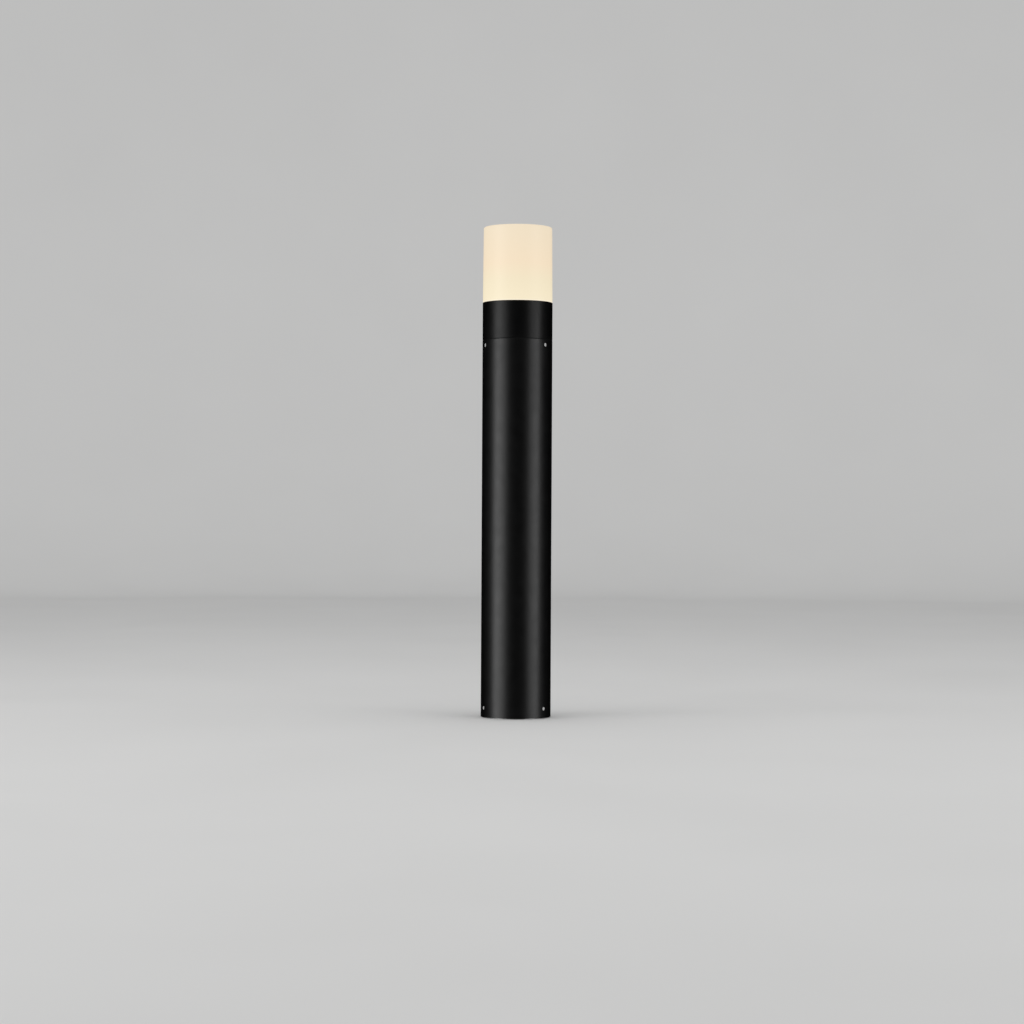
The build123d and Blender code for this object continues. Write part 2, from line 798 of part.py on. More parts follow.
def lampholder_sleeve():
    """The threaded metal sleeve, with the lamp's rounded thread as plain beads."""
    bottom = socket_floor + sleeve_rise
    inner = holder_socket_radius - sleeve_wall
    return ring(holder_socket_radius, inner, bottom, bottom + sleeve_length)


def lampholder_contact():
    """A spring tongue on the socket's floor with a raised button in the middle."""
    high = socket_floor + tongue_thickness
    half = tongue_length / 2
    tongue = block((-half, half), (-tongue_width / 2, tongue_width / 2), (socket_floor, high))
    button = rod(tongue_button_radius, high, high + tongue_button_height)
    return tongue + fillet(button.edges().group_by(Axis.Z)[-1], tongue_button_radius / 4)


# ---- Lamp
def lamp_contact():
    tip = rod(lamp_contact_radius, lamp_bottom, lamp_bottom + lamp_contact_height)
    return fillet(tip.edges().group_by(Axis.Z)[0], lamp_contact_height * 0.6)


def lamp_insulator():
    low = lamp_bottom + lamp_contact_height
    return turned((0, low), (lamp_contact_radius + 0.6, low), (lamp_cap_root - lamp_cap_wall, cap_bottom), (0, cap_bottom))


def lamp_cap():
    """A thin shell with one round bead for each turn of its thread."""
    pitch = (lamp_cap_height - 2) / lamp_cap_turns
    shell = rod(lamp_cap_root, cap_bottom, cap_top)
    bead_height = pitch * 0.62
    for turn in range(lamp_cap_turns):
        middle = cap_bottom + 1 + pitch * (turn + 0.5)
        bead = rod(lamp_cap_radius, middle - bead_height / 2, middle + bead_height / 2)
        bead = fillet(bead.edges(), bead_height * 0.42)
        shell += bead
    hollow = rod(lamp_cap_root - lamp_cap_wall, cap_bottom + lamp_cap_wall, cap_top)
    return shell - hollow


def lamp_housing():
    """A neck that plugs into the cap and a flared shoulder that carries the LED board."""
    plug = lamp_cap_root - lamp_cap_wall
    shelf = globe_bottom - led_board_thickness - led_thickness - 1
    return turned(
        (plug, cap_top - lamp_plug_depth),
        (plug, cap_top),
        (lamp_neck_radius, cap_top),
        (lamp_neck_radius, shoulder_bottom),
        (lamp_shoulder_radius, globe_bottom),
        (led_board_radius, globe_bottom),
        (led_board_radius, shelf),
        (led_board_radius - lamp_wall, shelf),
        (led_board_radius - 2 * lamp_wall, shelf - lamp_wall),
        (plug - lamp_wall, cap_top),
        (plug - lamp_wall, cap_top - lamp_plug_depth),
    )


def lamp_board():
    shelf = globe_bottom - led_board_thickness - led_thickness - 1
    return rod(led_board_radius, shelf, shelf + led_board_thickness)


def lamp_leds():
    low = globe_bottom - led_thickness - 1
    chip = block((-led_size / 2, led_size / 2), (-led_size / 2, led_size / 2), (low, low + led_thickness))
    turns = [360.0 / led_count * index for index in range(led_count)]
    return group(Rot(0, 0, turn) * Pos(led_circle, 0, 0) * chip for turn in turns)


def lamp_globe():
    """An opal ball, cut off flat where it sits on the housing's shoulder."""
    inner = lamp_globe_radius - lamp_globe_wall
    ball = Pos(0, 0, globe_middle) * (Sphere(lamp_globe_radius) - Sphere(inner))
    reach = 2 * lamp_globe_radius
    return ball - rod(reach, globe_bottom - reach, globe_bottom)


def lamp_seal():
    """A silicone ring on the lampholder's rim, round the lamp's neck."""
    seal = ring(lamp_seal_radius, lamp_neck_radius + slide_clearance, holder_top, holder_top + lamp_seal_height)
    return fillet(seal.edges().group_by(Axis.Z)[-1], lamp_seal_height / 4)


# ---- Column
def column_tube():
    tube = ring(column_radius, column_bore, weep_gap, column_top)
    rims = tube.edges().filter_by(GeomType.CIRCLE).filter_by(lambda edge: edge.radius > column_bore + 0.1)
    tube = chamfer(rims, column_edge)
    for height in (head_screw_height, foot_screw_height):
        for angle in set_screw_angles:
            hole = rod(set_screw_diameter / 2 + set_screw_hole_gap, collar_bore, column_radius + 1)
            tube -= outward(angle, height) * hole
    return tube


head_screw_height = column_top - head_screw_inset
foot_screw_height = weep_gap + foot_screw_inset


def collar(bottom, top, screw_height):
    """A ring pressed into the column and tapped for the set screws."""
    shape = ring(column_bore, collar_bore, bottom, top)
    for angle in set_screw_angles:
        tapping = rod(set_screw_diameter / 2 + thread_clearance, collar_bore - 1, column_bore + 1)
        shape -= outward(angle, screw_height) * tapping
    return shape


def top_collar():
    return collar(column_top - top_collar_height, column_top, head_screw_height)


def bottom_collar():
    top = foot_plate_thickness + bottom_collar_height
    return collar(foot_plate_thickness, top, foot_screw_height)


def set_screw(angle, height):
    """A cup-point set screw, with its hexagon socket outwards and its tip just off the spigot."""
    tip = set_screw_tip
    end = set_screw_end
    screw = rod(set_screw_diameter / 2, tip, end)
    screw = chamfer(screw.edges().filter_by(GeomType.CIRCLE), set_screw_edge)
    screw -= hexagon(set_screw_socket, end - set_screw_socket_depth, end)
    cup = set_screw_diameter / 4
    screw -= Pos(0, 0, tip) * Cone(cup, cup / 3, set_screw_cup_depth, align=(Align.CENTER, Align.CENTER, Align.MIN))
    return outward(angle, height) * screw


# ---- Head
def head_ring():
    """The outer ring and the spigot below it, in one piece, with a rebate for the gasket."""
    rebate = head_bottom + head_gasket_thickness - seam_gap
    rebate_radius = column_radius - head_gasket_cover
    return turned(
        (column_radius - head_edge, head_top),
        (column_radius, head_top - head_edge),
        (column_radius, head_bottom + column_edge),
        (column_radius - column_edge, head_bottom),
        (rebate_radius, head_bottom),
        (rebate_radius, rebate),
        (spigot_radius, rebate),
        (spigot_radius, spigot_bottom + column_edge),
        (spigot_radius - column_edge, spigot_bottom),
        (spigot_bore, spigot_bottom),
        (spigot_bore, web_top),
        (head_bore, web_top),
        (head_bore, head_top),
    ) - reflector_holes()


def reflector_places():
    """Where the reflector's screws go, on the web between the spigot's bore and the ring's bore."""
    middle = (spigot_bore + head_bore - reflector_gap - reflector_thickness) / 2
    return [(*on_circle(middle, angle), web_top) for angle in (30.0, 150.0, 270.0)]


def reflector_holes():
    depth = reflector_screw_grip - reflector_thickness
    radius = reflector_screw_diameter / 2
    return [rod(radius, web_top - depth, web_top, x, y) for x, y, _ in reflector_places()]


def head_gasket():
    bottom = column_top
    outer = column_radius - head_gasket_cover
    return ring(outer, spigot_radius, bottom, bottom + head_gasket_thickness)


def reflector():
    """A white dish that hides the inside of the ring and throws the light up."""
    outer = head_bore - reflector_gap
    dish = ring(outer, spigot_bore - reflector_overhang, web_top, web_top + reflector_thickness)
    dish += ring(outer, outer - reflector_thickness, web_top, neck_bottom - reflector_top_gap)
    for x, y, _ in reflector_places():
        dish -= rod(reflector_screw_diameter / 2, web_top, web_top + reflector_thickness, x, y)
    return dish


def reflector_screws():
    screw = pan_screw(
        reflector_screw_diameter, reflector_screw_grip, reflector_screw_head, reflector_screw_head_height
    )
    return group(Pos(x, y, z + reflector_thickness) * screw for x, y, z in reflector_places())


def diffuser():
    """An opal cap with a slight draft, a closed top and a neck that goes down inside the ring."""
    top_radius = diffuser_radius - diffuser_height * tan(radians(diffuser_draft))
    ceiling = overall_height - diffuser_top
    floor = diffuser_bottom + diffuser_shoulder
    cap = turned(
        (neck_radius, neck_bottom),
        (neck_radius, diffuser_bottom),
        (diffuser_radius, diffuser_bottom),
        (top_radius, overall_height),
        (0, overall_height),
        (0, ceiling),
        (top_radius - diffuser_wall, ceiling),
        (diffuser_radius - diffuser_wall, floor),
        (neck_radius - diffuser_wall, floor - 1),
        (neck_radius - diffuser_wall, neck_bottom),
    )
    rim = cap.edges().filter_by(GeomType.CIRCLE).sort_by(Axis.Z)[-1]
    return fillet(rim, diffuser_edge)


def diffuser_bond():
    bottom = neck_bottom + bond_rise
    return ring(head_bore, neck_radius, bottom, bottom + bond_height)


# ---- Everything, one node a name
makers = {
    "foot_casting": foot_casting,
    "earth_stud": earth_stud,
    "earth_lug": earth_lug,
    "earth_nut": earth_nut,
    "earth_wire": earth_wire,
    "gear_tray": gear_tray,
    "tray_screws": tray_screws,
    "centring_disc": centring_disc,
    "centring_disc_screws": disc_screws,
    "junction_box_body": junction_box_body,
    "junction_box_gasket": junction_box_gasket,
    "junction_box_lid": junction_box_lid,
    "junction_box_lid_screws": lid_screws,
    "junction_box_fixings": box_fixings,
    "terminal_block": terminal_block,
    "terminal_screws": terminal_screws,
    "fuse_base": fuse_base,
    "fuse": fuse,
    "supply_gland_body": lambda: supply_place * gland_body(),
    "supply_gland_nut": lambda: supply_place * gland_nut(supply_bore),
    "supply_gland_seal": lambda: supply_place * gland_seal(supply_bore),
    "lead_gland_body": lambda: lead_place * gland_body(),
    "lead_gland_nut": lambda: lead_place * gland_nut(lead_diameter),
    "lead_gland_seal": lambda: lead_place * gland_seal(lead_diameter),
    "gland_locknuts": gland_locknuts,
    "earth_grommet": earth_grommet,
    "lamp_lead": lamp_lead,
    "lamp_lead_cores": lamp_lead_cores,
    "lead_clips": lead_clips,
    "clip_rivets": clip_rivets,
    "lampholder_body": lampholder_body,
    "lampholder_screws": lampholder_screws,
    "lampholder_sleeve": lampholder_sleeve,
    "lampholder_contact": lampholder_contact,
    "lamp_contact": lamp_contact,
    "lamp_insulator": lamp_insulator,
    "lamp_cap": lamp_cap,
    "lamp_housing": lamp_housing,
    "lamp_board": lamp_board,
    "lamp_leds": lamp_leds,
    "lamp_globe": lamp_globe,
    "lamp_seal": lamp_seal,
    "column_tube": column_tube,
    "top_collar": top_collar,
    "bottom_collar": bottom_collar,
    "head_ring": head_ring,
    "head_gasket": head_gasket,
    "reflector": reflector,
    "reflector_screws": reflector_screws,
    "diffuser": diffuser,
    "diffuser_bond": diffuser_bond,
}

os.makedirs("parts", exist_ok=True)
for name, maker in makers.items():
    export_step(maker(), f"parts/{name}.step")
for place, height in (("head", head_screw_height), ("foot", foot_screw_height)):
    for number, angle in enumerate(set_screw_angles, 1):
        export_step(set_screw(angle, height), f"parts/{place}_set_screw_{number}.step")
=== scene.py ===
import json
import math
import bmesh
import bpy
from mathutils import Matrix, Quaternion, Vector

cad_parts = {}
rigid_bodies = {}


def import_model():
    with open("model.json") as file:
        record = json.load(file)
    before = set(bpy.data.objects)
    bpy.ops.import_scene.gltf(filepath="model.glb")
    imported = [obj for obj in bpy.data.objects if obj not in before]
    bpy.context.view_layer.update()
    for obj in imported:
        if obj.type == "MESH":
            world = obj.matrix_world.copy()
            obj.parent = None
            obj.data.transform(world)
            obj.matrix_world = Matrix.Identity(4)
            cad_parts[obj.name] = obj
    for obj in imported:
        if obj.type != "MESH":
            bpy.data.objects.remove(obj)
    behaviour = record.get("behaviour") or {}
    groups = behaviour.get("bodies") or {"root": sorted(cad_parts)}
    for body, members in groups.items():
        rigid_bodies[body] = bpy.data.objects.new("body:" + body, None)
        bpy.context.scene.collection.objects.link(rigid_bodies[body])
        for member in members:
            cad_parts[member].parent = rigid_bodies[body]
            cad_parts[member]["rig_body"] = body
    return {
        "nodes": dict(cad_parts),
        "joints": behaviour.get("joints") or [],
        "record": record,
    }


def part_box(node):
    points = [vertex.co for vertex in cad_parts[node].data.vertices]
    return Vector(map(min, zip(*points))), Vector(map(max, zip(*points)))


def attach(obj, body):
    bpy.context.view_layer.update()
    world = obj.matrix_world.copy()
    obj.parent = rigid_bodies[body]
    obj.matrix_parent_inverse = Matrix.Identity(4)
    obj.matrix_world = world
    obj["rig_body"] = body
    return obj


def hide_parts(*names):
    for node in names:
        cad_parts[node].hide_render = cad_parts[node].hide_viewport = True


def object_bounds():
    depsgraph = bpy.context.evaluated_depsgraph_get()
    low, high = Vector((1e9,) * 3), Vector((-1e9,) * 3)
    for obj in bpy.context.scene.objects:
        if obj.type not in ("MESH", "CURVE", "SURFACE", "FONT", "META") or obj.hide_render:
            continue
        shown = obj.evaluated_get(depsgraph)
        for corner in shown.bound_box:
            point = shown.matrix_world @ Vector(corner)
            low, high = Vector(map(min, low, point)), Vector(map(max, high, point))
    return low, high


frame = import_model()
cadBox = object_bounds()
cadNodes = frame["nodes"]
joints = {joint["name"]: joint for joint in frame["joints"]}
slotOf = {part["node"]: part["material_slot"] for part in frame["record"]["subparts"]}
scene = bpy.context.scene
scene.view_settings.view_transform = "Standard"  # colors show as they are lit, with no film curve
print("frame loaded with", len(cadNodes), "nodes")

# camera: nearly level, a little below the middle of the column
cameraSetup = {
    "azimuth": 7.0,      # degrees, 0 looks along +Y
    "distance": 3.36,
    "height": 0.283,
    "lens": 82.5,
    "pitch": 0.171,      # degrees upwards
    "roll": 0.29,        # degrees, the column's top leans to the right
    "aside": 0.0066,     # how far left of the column's axis the camera aims
}


def makeCamera(setup):
    azimuth = math.radians(setup["azimuth"])
    back = Vector((math.sin(azimuth), -math.cos(azimuth), 0))
    right = Vector((math.cos(azimuth), math.sin(azimuth), 0))
    place = back * setup["distance"] + Vector((0, 0, setup["height"]))
    rise = setup["distance"] * math.tan(math.radians(setup["pitch"]))
    aim = Vector((0, 0, setup["height"] + rise)) - right * setup["aside"]
    data = bpy.data.cameras.new("mainCamera")
    data.lens = setup["lens"]
    data.sensor_width = 36
    camera = bpy.data.objects.new("mainCamera", data)
    camera.rotation_mode = "QUATERNION"
    camera.location = place
    level = (aim - place).to_track_quat("-Z", "Y")
    camera.rotation_quaternion = level @ Quaternion((0, 0, 1), math.radians(setup["roll"]))
    scene.collection.objects.link(camera)
    scene.camera = camera


makeCamera(cameraSetup)
print("camera placed")


# helpers for materials: a finish is a material with its node tree, shader and object coordinates
def addNode(finish, kind, **settings):
    node = finish["tree"].nodes.new(kind)
    for key, value in settings.items():
        if key in node.inputs:
            node.inputs[key].default_value = value
        else:
            setattr(node, key, value)
    return node


def join(finish, source, target):
    finish["tree"].links.new(source, target)


def startFinish(name, shaderValues):
    material = bpy.data.materials.new(name)
    material.use_nodes = True
    tree = material.node_tree
    tree.nodes.clear()
    finish = {"material": material, "tree": tree}
    output = addNode(finish, "ShaderNodeOutputMaterial")
    shader = addNode(finish, "ShaderNodeBsdfPrincipled")
    join(finish, shader.outputs["BSDF"], output.inputs["Surface"])
    for key, value in shaderValues.items():
        shader.inputs[key].default_value = value
    finish["shader"] = shader
    finish["place"] = addNode(finish, "ShaderNodeTexCoord").outputs["Object"]
    return finish


def mapped(finish, stretch=(1, 1, 1), turn=(0, 0, 0)):
    mapping = addNode(finish, "ShaderNodeMapping", Scale=stretch, Rotation=turn)
    join(finish, finish["place"], mapping.inputs["Vector"])
    return mapping.outputs["Vector"]


def noise(finish, scale, detail=4.0, rough=0.55, stretch=(1, 1, 1)):
    texture = addNode(finish, "ShaderNodeTexNoise", Scale=scale, Detail=detail, Roughness=rough)
    join(finish, mapped(finish, stretch), texture.inputs["Vector"])
    return texture.outputs["Fac"]


def cells(finish, scale, output="Color", feature="F1"):
    texture = addNode(finish, "ShaderNodeTexVoronoi", Scale=scale, feature=feature)
    join(finish, mapped(finish), texture.inputs["Vector"])
    return texture.outputs[output]


def bands(finish, scale, turn):
    texture = addNode(finish, "ShaderNodeTexWave", Scale=scale, wave_type="BANDS", bands_direction="Z")
    join(finish, mapped(finish, turn=turn), texture.inputs["Vector"])
    return texture.outputs["Fac"]


def spread(finish, source, low, high, fromLow=0.3, fromHigh=0.7):
    span = addNode(finish, "ShaderNodeMapRange")
    for key, value in (("From Min", fromLow), ("From Max", fromHigh), ("To Min", low), ("To Max", high)):
        span.inputs[key].default_value = value
    join(finish, source, span.inputs["Value"])
    return span.outputs["Result"]


def blendColors(finish, source, stops, steps=False):
    ramp = addNode(finish, "ShaderNodeValToRGB")
    if steps:
        ramp.color_ramp.interpolation = "CONSTANT"
    elements = ramp.color_ramp.elements
    while len(elements) < len(stops):
        elements.new(0.5)
    for element, (position, color) in zip(elements, stops):
        element.position = position
        element.color = (*color, 1)
    join(finish, source, ramp.inputs["Fac"])
    return ramp.outputs["Color"]


def relief(finish, source, depth, strength):
    bump = addNode(finish, "ShaderNodeBump", Strength=strength, Distance=depth)
    join(finish, source, bump.inputs["Height"])
    target = finish["shader"].inputs["Normal"]
    if target.is_linked:
        join(finish, target.links[0].from_socket, bump.inputs["Normal"])
    join(finish, bump.outputs["Normal"], target)


def along(finish, axis):
    axes = addNode(finish, "ShaderNodeSeparateXYZ")
    join(finish, finish["place"], axes.inputs["Vector"])
    return axes.outputs[axis]


def tint(finish, source, name="Base Color"):
    join(finish, source, finish["shader"].inputs[name])


def between(finish, source, low, high):
    tint(finish, spread(finish, source, low, high), "Roughness")


# black powder coat: fine grain over a soft orange peel
columnCoat = {
    "dark": (0.0012, 0.0012, 0.0013),
    "light": (0.0019, 0.0019, 0.0020),
    "polish": (0.35, 0.41),
    "specular": 0.42,
    "patchScale": 40.0,
    "polishScale": 60.0,
    "peelScale": 420.0,
    "peelDepth": 0.00004,
    "peel": 0.35,
    "grainScale": 2200.0,
    "grainDepth": 0.00002,
    "grain": 0.5,
}
headCoat = dict(columnCoat, specular=0.265)


def powderCoat(name, settings):
    finish = startFinish(name, {"IOR": 1.5, "Specular IOR Level": settings["specular"]})
    patches = noise(finish, settings["patchScale"], detail=5.0)
    tint(finish, blendColors(finish, patches, [(0.3, settings["dark"]), (0.7, settings["light"])]))
    between(finish, noise(finish, settings["polishScale"], detail=6.0), *settings["polish"])
    for layer in ("peel", "grain"):
        bumps = noise(finish, settings[layer + "Scale"], detail=2.0)
        relief(finish, bumps, settings[layer + "Depth"], settings[layer])
    return finish["material"]


# lit opal: the glow is strongest low down, beside the lamp, and at the bright lower lip
opalCap = {
    "body": (0.21, 0.19, 0.16),
    "polish": (0.40, 0.46),
    "strength": 1.0,
    "glow": [
        (0.0, (0.80, 0.72, 0.58)),
        (0.02, (0.72, 0.63, 0.44)),
        (0.10, (0.71, 0.62, 0.43)),
        (0.26, (0.69, 0.60, 0.415)),
        (0.50, (0.70, 0.565, 0.395)),
        (1.0, (0.665, 0.56, 0.405)),
    ],
}


def opalFinish(settings):
    finish = startFinish("opalLit", {"Emission Strength": settings["strength"], "Specular IOR Level": 0.25})
    body = settings["body"]
    cloud = noise(finish, 14.0, detail=2.0)
    tint(finish, blendColors(finish, cloud, [(0.3, tuple(0.98 * v for v in body)), (0.7, body)]))
    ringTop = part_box("head_ring")[1].z
    share = spread(finish, along(finish, "Z"), 0.0, 1.0, ringTop, cadBox[1].z)
    tint(finish, blendColors(finish, share, settings["glow"]), "Emission Color")
    between(finish, noise(finish, 90.0), *settings["polish"])
    relief(finish, noise(finish, 900.0, detail=2.0), 0.00001, 0.3)
    return finish["material"]


# plain finishes: two tones in patches, an uneven polish, and a fine grain
plainFinishes = {
    "boxGrey": {"tones": ((0.40, 0.41, 0.42), (0.47, 0.48, 0.485)), "patches": 18, "polish": (0.48, 0.6),
                "grain": 1900, "depth": 0.00004},
    "glandGrey": {"tones": ((0.26, 0.27, 0.28), (0.31, 0.32, 0.33)), "patches": 30, "polish": (0.38, 0.52),
                  "grain": 1500, "depth": 0.00002},
    "naturalNylon": {"tones": ((0.66, 0.64, 0.57), (0.76, 0.74, 0.68)), "patches": 45, "polish": (0.36, 0.5),
                     "grain": 1200, "depth": 0.00002,
                     "shader": {"Subsurface Weight": 0.25, "Subsurface Scale": 0.001}},
    "discBlack": {"tones": ((0.018, 0.018, 0.019), (0.028, 0.028, 0.029)), "patches": 25,
                  "polish": (0.42, 0.58), "grain": 1400, "depth": 0.00004},
    "sealRubber": {"tones": ((0.004, 0.004, 0.004), (0.010, 0.010, 0.010)), "patches": 60,
                   "polish": (0.6, 0.78), "grain": 1000, "depth": 0.00005,
                   "shader": {"Specular IOR Level": 0.1}},
    "sealSilicone": {"tones": ((0.62, 0.59, 0.54), (0.72, 0.70, 0.66)), "patches": 40, "polish": (0.38, 0.52),
                     "grain": 700, "depth": 0.00003,
                     "shader": {"Subsurface Weight": 0.4, "Subsurface Scale": 0.002}},
    "stainless": {"tones": ((0.48, 0.475, 0.465), (0.64, 0.635, 0.62)), "patches": 350,
                  "polish": (0.16, 0.32), "grain": 2600, "depth": 0.00001, "shader": {"Metallic": 1.0}},
    "screwSteel": {"tones": ((0.78, 0.79, 0.78), (0.90, 0.90, 0.89)), "patches": 500, "polish": (0.24, 0.38),
                   "grain": 3000, "depth": 0.00001, "shader": {"Metallic": 0.45}},
    "brass": {"tones": ((0.60, 0.40, 0.13), (0.74, 0.53, 0.22)), "patches": 220, "polish": (0.2, 0.38),
              "grain": 1800, "depth": 0.00002, "shader": {"Metallic": 1.0}},
    "nickel": {"tones": ((0.58, 0.56, 0.52), (0.70, 0.68, 0.64)), "patches": 160, "polish": (0.12, 0.26),
               "grain": 900, "depth": 0.00001, "shader": {"Metallic": 1.0}},
    "lampWhite": {"tones": ((0.80, 0.80, 0.785), (0.86, 0.86, 0.85)), "patches": 30, "polish": (0.24, 0.34),
                  "grain": 500, "depth": 0.00001, "shader": {"Coat Weight": 0.2, "Coat Roughness": 0.1}},
    "lampBlack": {"tones": ((0.010, 0.010, 0.012), (0.022, 0.022, 0.026)), "patches": 300,
                  "polish": (0.08, 0.2), "grain": 700, "depth": 0.00003},
    "whiteEnamel": {"tones": ((0.78, 0.78, 0.765), (0.85, 0.85, 0.84)), "patches": 24, "polish": (0.28, 0.4),
                    "grain": 420, "depth": 0.00003},
    "paleBoard": {"tones": ((0.74, 0.75, 0.74), (0.84, 0.84, 0.83)), "patches": 130, "polish": (0.3, 0.44),
                  "grain": 1600, "depth": 0.00001},
}


def plainFinish(name, settings):
    finish = startFinish(name, settings.get("shader", {}))
    dark, light = settings["tones"]
    tint(finish, blendColors(finish, noise(finish, settings["patches"]), [(0.32, dark), (0.68, light)]))
    grain = noise(finish, settings["grain"], detail=3.0)
    between(finish, noise(finish, settings["patches"] * 2.3, detail=6.0), *settings["polish"])
    relief(finish, grain, settings["depth"], 0.7)
    return finish["material"]


# cast aluminium: bright skin, sandy grain and small dark pores
castAluminium = {"dark": (0.36, 0.36, 0.355), "light": (0.56, 0.56, 0.55), "pore": (0.22, 0.22, 0.22),
                 "polish": (0.36, 0.58), "sandScale": 650.0, "poreScale": 260.0}


def castFinish(settings):
    finish = startFinish("castAluminium", {"Metallic": 0.75})
    skin = noise(finish, 55.0, detail=8.0, rough=0.7)
    tones = [(0.25, settings["pore"]), (0.38, settings["dark"]), (0.7, settings["light"])]
    tint(finish, blendColors(finish, skin, tones))
    between(finish, noise(finish, 90.0, detail=5.0), *settings["polish"])
    relief(finish, noise(finish, settings["sandScale"], detail=4.0, rough=0.7), 0.00012, 0.55)
    relief(finish, cells(finish, settings["poreScale"], "Distance"), 0.00005, 0.25)
    return finish["material"]


# turned aluminium: fine lathe rings that stack up along Z
turnedAluminium = {"dark": (0.50, 0.50, 0.495), "light": (0.66, 0.66, 0.65), "polish": (0.24, 0.4),
                   "scale": 12.0, "rings": 900.0}


def turnedFinish(settings):
    finish = startFinish("turnedAluminium", {"Metallic": 0.8, "Anisotropic": 0.4})
    scale = settings["scale"]
    lathe = noise(finish, scale, detail=6.0, stretch=(0.4, 0.4, settings["rings"] / scale))
    tint(finish, blendColors(finish, lathe, [(0.3, settings["dark"]), (0.7, settings["light"])]))
    between(finish, lathe, *settings["polish"])
    relief(finish, lathe, 0.00003, 0.5)
    return finish["material"]


# zinc-coated sheet: frosty spangle with a faint rolled grain
zincSheet = {"dark": (0.40, 0.41, 0.42), "light": (0.60, 0.61, 0.62), "polish": (0.32, 0.46),
             "spangle": 150.0}


def zincFinish(settings):
    finish = startFinish("zincSheet", {"Metallic": 0.55})
    crystal = cells(finish, settings["spangle"])
    tone = addNode(finish, "ShaderNodeRGBToBW")
    join(finish, crystal, tone.inputs["Color"])
    frost = tone.outputs["Val"]
    tint(finish, blendColors(finish, frost, [(0.15, settings["dark"]), (0.85, settings["light"])]))
    between(finish, frost, *settings["polish"])
    relief(finish, noise(finish, 160.0, detail=4.0, stretch=(1.0, 1.0, 0.04)), 0.00003, 0.4)
    relief(finish, cells(finish, settings["spangle"], "Distance", "DISTANCE_TO_EDGE"), 0.00002, 0.3)
    return finish["material"]


# glazed ceramic: glassy coat over a warm white body with a few iron specks
ceramicGlaze = {"body": (0.74, 0.72, 0.66), "warm": (0.64, 0.61, 0.54), "speck": (0.30, 0.24, 0.18),
                "polish": (0.2, 0.34)}


def ceramicFinish(settings):
    finish = startFinish("glazedCeramic", {"Coat Weight": 1.0, "Coat Roughness": 0.06, "Coat IOR": 1.5})
    pool = noise(finish, 35.0, detail=3.0)
    body = blendColors(finish, pool, [(0.35, settings["warm"]), (0.6, settings["body"])])
    specks = blendColors(finish, noise(finish, 480.0, detail=1.0), [(0.735, (0, 0, 0)), (0.77, (1, 1, 1))])
    mix = addNode(finish, "ShaderNodeMix", data_type="RGBA")
    mix.inputs[7].default_value = (*settings["speck"], 1)
    join(finish, specks, mix.inputs[0])
    join(finish, body, mix.inputs[6])
    tint(finish, mix.outputs[2])
    between(finish, pool, *settings["polish"])
    relief(finish, noise(finish, 130.0, detail=2.0), 0.00006, 0.3)
    return finish["material"]


# lamp lead: white braided sleeve, two sets of strands that cross; the grooves between the strands are painted
# darker as shade
braidedLead = {"valleyShade": (0.50, 0.49, 0.46), "crest": (0.80, 0.79, 0.76), "polish": (0.6, 0.8),
               "strands": 160.0, "lean": 42.0}


def braidFinish(settings):
    finish = startFinish("braidedLead", {"Sheen Weight": 0.3, "Sheen Roughness": 0.4})
    lean = math.radians(settings["lean"])
    one = bands(finish, settings["strands"], turn=(lean, lean, 0))
    other = bands(finish, settings["strands"], turn=(-lean, -lean, 0))
    weave = addNode(finish, "ShaderNodeMath", operation="MAXIMUM")
    join(finish, one, weave.inputs[0])
    join(finish, other, weave.inputs[1])
    cloth = weave.outputs["Value"]
    # painted shade: the white sleeve turns darker towards the grooves of the weave
    tint(finish, blendColors(finish, cloth, [(0.2, settings["valleyShade"]), (0.8, settings["crest"])]))
    between(finish, noise(finish, 700.0), *settings["polish"])
    relief(finish, cloth, 0.00025, 0.7)
    return finish["material"]


# wires: the earth wire is green with yellow bands, the three cores are told apart by their place
wireColors = {
    "green": (0.03, 0.22, 0.05),
    "yellow": (0.72, 0.55, 0.03),
    "brown": (0.14, 0.05, 0.02),
    "blue": (0.03, 0.11, 0.42),
    "polish": (0.3, 0.46),
    "bandScale": 45.0,
    "lean": 35.0,
}


def wireFinish(name, settings):
    finish = startFinish(name, {"Subsurface Weight": 0.05, "Subsurface Scale": 0.001})
    lean = math.radians(settings["lean"])
    stripes = bands(finish, settings["bandScale"], turn=(lean, lean, 0))
    color = blendColors(finish, stripes, [(0.0, settings["green"]), (0.62, settings["yellow"])], steps=True)
    if name == "coreWires":
        low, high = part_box("lamp_lead_cores")
        side = spread(finish, along(finish, "X"), 0.0, 1.0, low.x, high.x)
        outer = blendColors(finish, side, [(0.0, settings["brown"]), (0.5, settings["blue"])], steps=True)
        thirds = [(0.0, (0, 0, 0)), (0.36, (1, 1, 1)), (0.64, (0, 0, 0))]
        inMiddle = blendColors(finish, side, thirds, steps=True)
        mix = addNode(finish, "ShaderNodeMix", data_type="RGBA")
        join(finish, inMiddle, mix.inputs[0])
        join(finish, outer, mix.inputs[6])
        join(finish, color, mix.inputs[7])
        color = mix.outputs[2]
    tint(finish, color)
    between(finish, noise(finish, 260.0), *settings["polish"])
    relief(finish, noise(finish, 900.0), 0.00003, 0.5)
    return finish["material"]


# fuse: clear glass between two plated end caps
fuseLook = {"glass": (0.86, 0.90, 0.90), "cap": (0.66, 0.64, 0.60), "polish": (0.08, 0.22), "capShare": 0.24}


